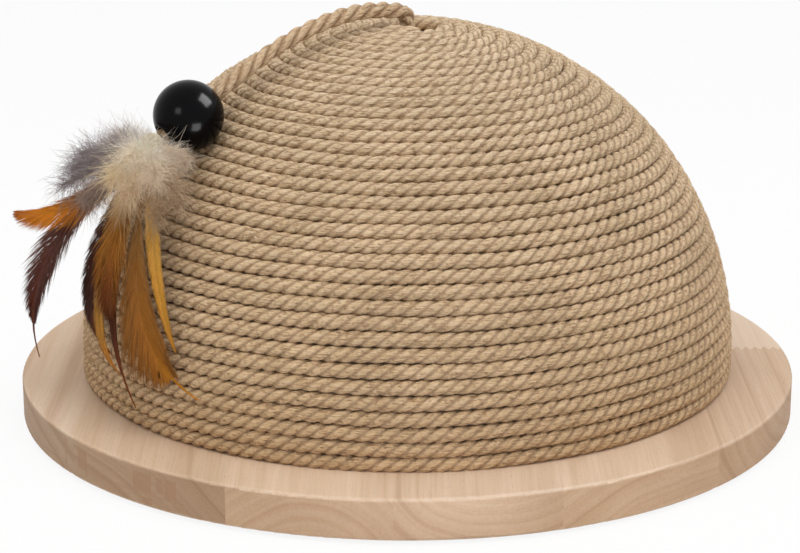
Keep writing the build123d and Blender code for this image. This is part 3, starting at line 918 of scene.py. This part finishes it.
class SCRATCH_OT_cord(bpy.types.Operator):
    """Make the toy cord, its upright end and its knot"""

    bl_idname = "scratch.cord"
    bl_label = "Toy Cord"

    def execute(self, context):
        settings = context.scene.scratch_toy
        # The last number is the strength of the painted shade in the grooves
        material = jute_material(
            "twisted_jute_cord", settings.cord_light, linear("#C8A985"), settings.cord_dark, 0.8
        )
        points = self.smooth_route()
        outward = [(p - BALL_CENTRE).normalized() for p in points]
        strand = (settings.cord_strand, settings.cord_offset, settings.cord_lay)
        cord, length = laid_rope("toy_cord_laid", points, outward, strand, rounded=3.5 * MM)
        settle(cord, material, "toy_arm", "cord_jute", "toy_cord")
        tuple(points[0])
        [tuple(p) for p in points]
        self.stub(strand, material)
        return {"FINISHED"}

    def smooth_route(self):
        """Points read from the route's own smooth spline."""
        data = bpy.data.curves.new("toy_route", "CURVE")
        data.dimensions = "3D"
        spline = data.splines.new("NURBS")
        spline.points.add(len(ROUTE) - 1)
        for control, place in zip(spline.points, ROUTE):
            control.co = (*place, 1)
        spline.order_u = 3
        spline.use_endpoint_u = True
        spline.resolution_u = 16
        holder = bpy.data.objects.new("toy_route", data)
        bpy.context.scene.collection.objects.link(holder)
        line = bpy.data.meshes.new_from_object(holder)
        points = [v.co.copy() for v in line.vertices]
        bpy.data.objects.remove(holder)
        bpy.data.meshes.remove(line)
        return points

    def stub(self, strand, material):
        """The cord's upright end in the crown, with the stopper knot inside the ball."""
        low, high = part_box("toy_cord_knot")
        bend = 3.4 * MM
        top = ROUTE[0].z - bend
        angles = [k / 6 * pi / 2 for k in range(7)]
        points = [OUT * (bend * (1 - sin(a))) + UP * (top + bend * cos(a)) for a in angles]
        points += [UP * (top + (low.z - top) * k / 24) for k in range(1, 25)]
        stub, _ = laid_rope("toy_cord_stub", points, [SIDE] * len(points), strand)
        knot_top = high.z - 14.7 * MM
        turns = 2.2
        steps = 60
        wraps = [
            Vector((cos(turns * tau * k / steps), sin(turns * tau * k / steps), 0)) * (5.0 * MM)
            + UP * (knot_top - (2.6 + 7.8 * k / steps) * MM)
            for k in range(steps + 1)
        ]
        away = [Vector((p.x, p.y, 0)).normalized() for p in wraps]
        wrap, _ = laid_rope("toy_cord_knot_wraps", wraps, away, (1.35 * MM, 1.05 * MM, 14 * MM))
        settle(stub, material, "toy_root", "cord_jute", "toy_cord_knot")
        settle(wrap, material, "toy_root", "cord_jute")


class SCRATCH_OT_bead(bpy.types.Operator):
    """Turn the black bead, with its rounded bore"""

    bl_idname = "scratch.bead"
    bl_label = "Bead"

    def execute(self, context):
        settings = context.scene.scratch_toy
        radius, bore, rounding = settings.bead_radius, 3.8 * MM, 0.8 * MM
        deselect()
        bpy.ops.mesh.primitive_uv_sphere_add(segments=96, ring_count=64, radius=radius)
        bead = context.active_object
        bead.name = "bead_lacquered"
        only(bead)
        bpy.ops.object.mode_set(mode="EDIT")
        bpy.ops.mesh.select_all(action="DESELECT")
        bpy.ops.object.mode_set(mode="OBJECT")
        lip = sqrt(radius**2 - (bore + rounding) ** 2)
        for vertex in bead.data.vertices:
            vertex.select = abs(vertex.co.z) > lip
        bpy.ops.object.mode_set(mode="EDIT")
        bpy.ops.mesh.delete(type="VERT")
        bpy.ops.mesh.select_all(action="DESELECT")
        bpy.ops.mesh.select_non_manifold()
        bpy.ops.mesh.bridge_edge_loops(number_cuts=12)
        bpy.ops.object.mode_set(mode="OBJECT")
        for vertex in bead.data.vertices:
            rho = sqrt(vertex.co.x**2 + vertex.co.y**2)
            on_sphere = abs(vertex.co.length - radius) < 1e-6
            if not on_sphere and rho > 0:
                depth = max(0.0, abs(vertex.co.z) - (lip - rounding * 2))
                flare = bore + rounding * (depth / (rounding * 2)) ** 2
                vertex.co.x *= flare / rho
                vertex.co.y *= flare / rho
        turn = CORD_WAY.to_track_quat("Z", "Y").to_matrix().to_4x4()
        bead.data.transform(Matrix.Translation(BEAD_CENTRE) @ turn)
        bead.data.shade_smooth()
        lacquer = lacquer_material("black_lacquered_beech", settings.bead)
        settle(bead, lacquer, "bead", "bead_black", "toy_bead")
        return {"FINISHED"}


class SCRATCH_OT_binding(bpy.types.Operator):
    """Wind thread round the feathers' roots"""

    bl_idname = "scratch.binding"
    bl_label = "Binding"

    def execute(self, context):
        deselect()
        bpy.ops.mesh.primitive_uv_sphere_add(segments=24, ring_count=16, radius=4.5 * MM, location=TUFT)
        pad = context.active_object
        pad.name = "binding_core"
        bpy.ops.object.transform_apply(location=True, rotation=True, scale=True)
        thread_material = plain_fibre_material("waxed_linen_thread", linear("#D9CDB4"))
        pad.data.shade_smooth()
        turns, steps = 13, 390
        path = []
        for k in range(steps + 1):
            share = k / steps
            along = -4.3 + 8.6 * share
            reach = sqrt(max(0.2, 4.75**2 - along**2))
            angle = turns * tau * share
            ring = SIDE * (reach * cos(angle)) + CORD_ABOVE * (reach * sin(angle))
            path.append(TUFT + (ring + CORD_WAY * along) * MM)
        thread = fine_hairs("binding_thread_wound", [path], 0.38)
        settle(thread, thread_material, "tuft", "binding_thread", "tuft_binding")
        settle(pad, thread_material, "tuft", "binding_thread")
        return {"FINISHED"}


class SCRATCH_OT_feathers(bpy.types.Operator):
    """Grow the eight feathers from their shafts and barbs"""

    bl_idname = "scratch.feathers"
    bl_label = "Feathers"

    def execute(self, context):
        rng = np.random.default_rng(21)
        vane = feather_material("dyed_cock_hackle", 0.5, 0.2, 0.0)
        for name, (root, belly, tip, width, first, last, loose, hexes) in FEATHERS.items():
            deep = sqrt(5.3**2 - root[0] ** 2 - root[1] ** 2)
            start = TUFT + (SIDE * root[0] + CORD_ABOVE * root[1] + CORD_WAY * deep) * MM
            middle, end = toy_place(*belly), toy_place(*tip)
            paths, tints = barbs(rng, start, middle, end, width, first, last, loose, hexes)
            hairs = fine_hairs(name + "_vane", paths, BARB_RADII, fine_tints(tints))
            spine = [feather_curve(start, middle, end, k / 14)[0] for k in range(15)]
            tone = fine_tints([mixed_colour(hexes, 0.3) * 0.9])
            shaft = fine_hairs(name + "_shaft", [spine], np.linspace(0.42, 0.10, 15), tone)
            only(hairs)
            shaft.select_set(True)
            bpy.ops.object.join()
            part = next(row for row in frame["record"]["subparts"] if row["node"] == name)
            settle(hairs, vane, "tuft", part["material_slot"], name)
        return {"FINISHED"}


class SCRATCH_OT_down(bpy.types.Operator):
    """Fluff up the down round the binding"""

    bl_idname = "scratch.down"
    bl_label = "Down"
    bead_places = ()

    def execute(self, context):
        rng = np.random.default_rng(5)
        sway = next(j for j in frame["joints"] if j["name"] == "tuft_sway")
        pivot, axis = Vector(sway["pos_m"]), Vector(sway["axis"])
        self.bead_places = [
            pivot + Matrix.Rotation(-radians(degrees), 3, axis) @ (BEAD_CENTRE - pivot)
            for degrees in range(0, 46, 5)
        ]
        # The last number is the strength of the down's painted glow
        soft = feather_material("marabou_down", 0.85, 0.25, 0.12)
        paths, tints = [], []
        for tip, reach, hexes in PLUMES:
            end = toy_place(*tip)
            root = TUFT + (end - TUFT).normalized() * (3.0 * MM)
            span = end - root
            for _ in range(PLUME_BARBS):
                share = rng.random() ** 0.8
                place = root + span * (share * 0.85) - UP * (3.0 * MM * share * share)
                spin = Vector(rng.normal(size=3)).normalized()
                length = reach * MM * (0.5 + 0.7 * rng.random()) * (1 - 0.3 * share)
                aim = (span.normalized() * (0.5 + 0.6 * rng.random()) + spin * 1.05).normalized()
                curl = Vector(rng.normal(size=3)) * (length * 0.2)
                sway = Vector(rng.normal(size=3)) * (length * 0.09)
                first = place + aim * (length * 0.3) + curl * 0.3 + sway
                second = place + aim * (length * 0.65) + curl * 0.8 - sway
                last = place + aim * length + curl * 1.3 - UP * (length * 0.12)
                paths.append([self.lifted(p) for p in (place, first, second, last)])
                tone = mixed_colour(hexes, share * 0.75 + 0.25 * rng.random())
                tints.append(tone * (0.92 + 0.3 * rng.random()))
        down = fine_hairs("down_fluff", paths, DOWN_RADII, fine_tints(tints))
        settle(down, soft, "tuft", "down", "down_plumes")
        return {"FINISHED"}

    def lifted(self, point):
        """The point, moved out where it would lie in the rope, or in the bead through the sway."""
        away = point - BALL_CENTRE
        least = (WINDING_RADIUS + 1.2) * MM
        if away.length < least:
            point = BALL_CENTRE + away.normalized() * least
        for middle in self.bead_places:
            away = point - middle
            if away.length < BEAD_CLEAR * MM:
                point = middle + away.normalized() * (BEAD_CLEAR * MM)
        return point


class SCRATCH_OT_frame_finishes(bpy.types.Operator):
    """Finish the staves, pads, screws, core, washer and staples of the frame"""

    bl_idname = "scratch.frame_finishes"
    bl_label = "Frame Finishes"

    def execute(self, context):
        wood = context.scene.scratch_base
        zinc = steel_material("zinc_plated_steel", linear("#B9BDC2"))
        finishes = {
            "base_pads": foam_material("eva_foam", linear("#1E1E1E"), linear("#3A3A3A")),
            "core_screws": zinc,
            "knot_washer": zinc,
            "rope_staples": steel_material("galvanised_staple_wire", linear("#A9ABAD")),
            "dome_core": moulded_material("moulded_polypropylene", linear("#B59A78"), linear("#C4AA88")),
        }
        for number in range(6):
            name = f"base_stave_{number + 1}"
            finishes[name] = wood_material(f"rubberwood_stave_{number + 1}", number, wood)
        for name, material in finishes.items():
            piece = frame["nodes"][name]
            piece.data.materials.clear()
            piece.data.materials.append(material)
        return {"FINISHED"}


class SCRATCH_PT_panel(bpy.types.Panel):
    """Makes the half ball's pieces one by one"""

    bl_label = "Scratching Ball"
    bl_idname = "SCRATCH_PT_panel"
    bl_space_type = "VIEW_3D"
    bl_region_type = "UI"
    bl_category = "Scratching Ball"

    def draw(self, context):
        for operator in OPERATORS:
            self.layout.operator(operator.bl_idname)
        for name in SETTINGS:
            settings = getattr(context.scene, name)
            for key in settings.__annotations__:
                self.layout.prop(settings, key)


SETTINGS = {
    "scratch_rope": ScratchRopeSettings,
    "scratch_toy": ScratchToySettings,
    "scratch_base": ScratchBaseSettings,
    "scratch_stage": ScratchStageSettings,
}
OPERATORS = [
    SCRATCH_OT_stage,
    SCRATCH_OT_bead,
    SCRATCH_OT_binding,
    SCRATCH_OT_cord,
    SCRATCH_OT_winding,
    SCRATCH_OT_loose_fibres,
    SCRATCH_OT_feathers,
    SCRATCH_OT_down,
    SCRATCH_OT_frame_finishes,
]


def register():
    """Adds the settings, operators and panel."""
    for name, group in SETTINGS.items():
        bpy.utils.register_class(group)
        setattr(bpy.types.Scene, name, PointerProperty(type=group))
    for cls in (*OPERATORS, SCRATCH_PT_panel):
        bpy.utils.register_class(cls)


def unregister():
    """Takes them away again."""
    for cls in reversed((*OPERATORS, SCRATCH_PT_panel)):
        bpy.utils.unregister_class(cls)
    for name, group in SETTINGS.items():
        delattr(bpy.types.Scene, name)
        bpy.utils.unregister_class(group)


def main():
    """Makes every piece in order."""
    register()
    for operator in OPERATORS:
        group, name = operator.bl_idname.split(".")
        getattr(getattr(bpy.ops, group), name)()


if __name__ == "__main__":
    main()
